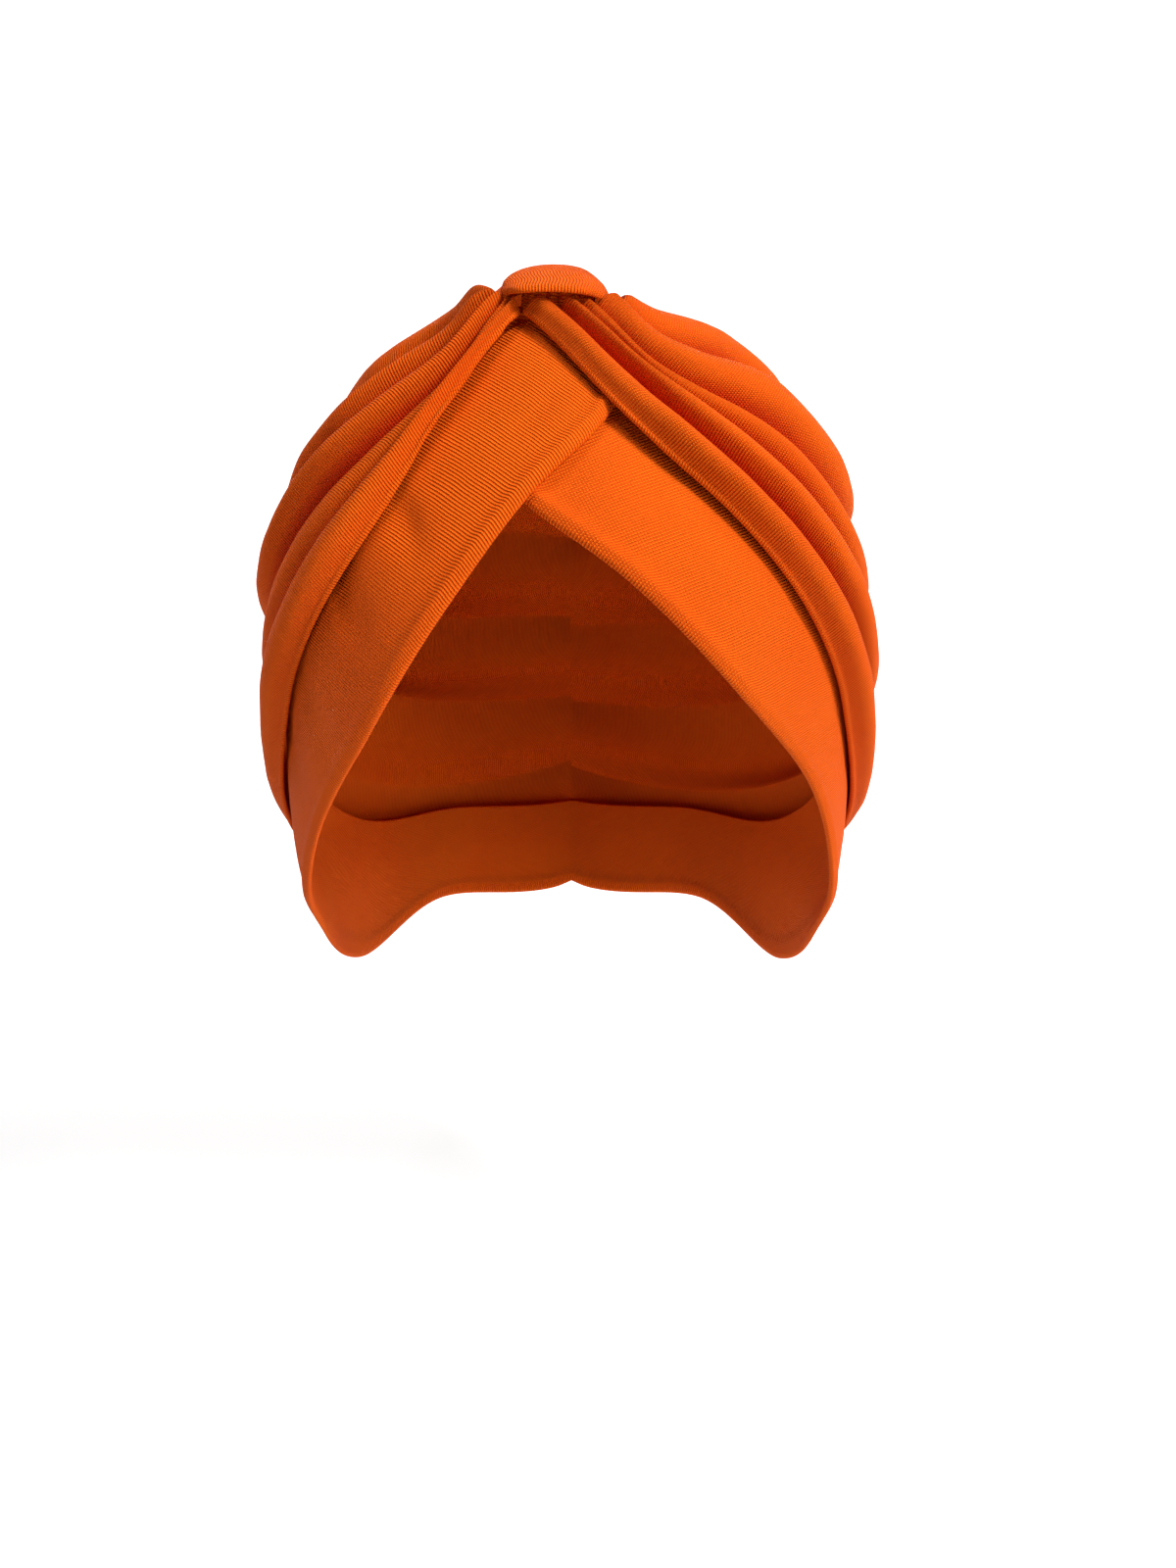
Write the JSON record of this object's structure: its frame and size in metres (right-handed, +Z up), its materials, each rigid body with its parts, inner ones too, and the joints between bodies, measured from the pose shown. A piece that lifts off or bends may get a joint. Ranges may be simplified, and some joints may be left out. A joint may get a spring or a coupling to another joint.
{
  "type": "turban cap",
  "caption": "Ready-tied stretch jersey turban cap: pleated crown gathered at a front knot loop over two crossed smooth bands, open for the face and head.",
  "frame": {"origin": "the point inside the crown that rests on the top of the head", "axes": "-Y out through the knot and the face opening, +Z up along the wearer's head, +X towards the viewer's right when the front is seen"},
  "size_m": [0.1723, 0.1775, 0.2115],
  "materials": {
    "jersey": "soft matte knit, bright orange",
    "band_jersey": "soft matte knit, doubled, bright orange"
  },
  "bodies": {
    "root": {"crown_left": "jersey", "crown_right": "jersey", "band_left": "band_jersey", "band_right": "band_jersey", "gathered_cloth": "jersey", "knot_loop": "jersey"}
  },
  "joints": []
}
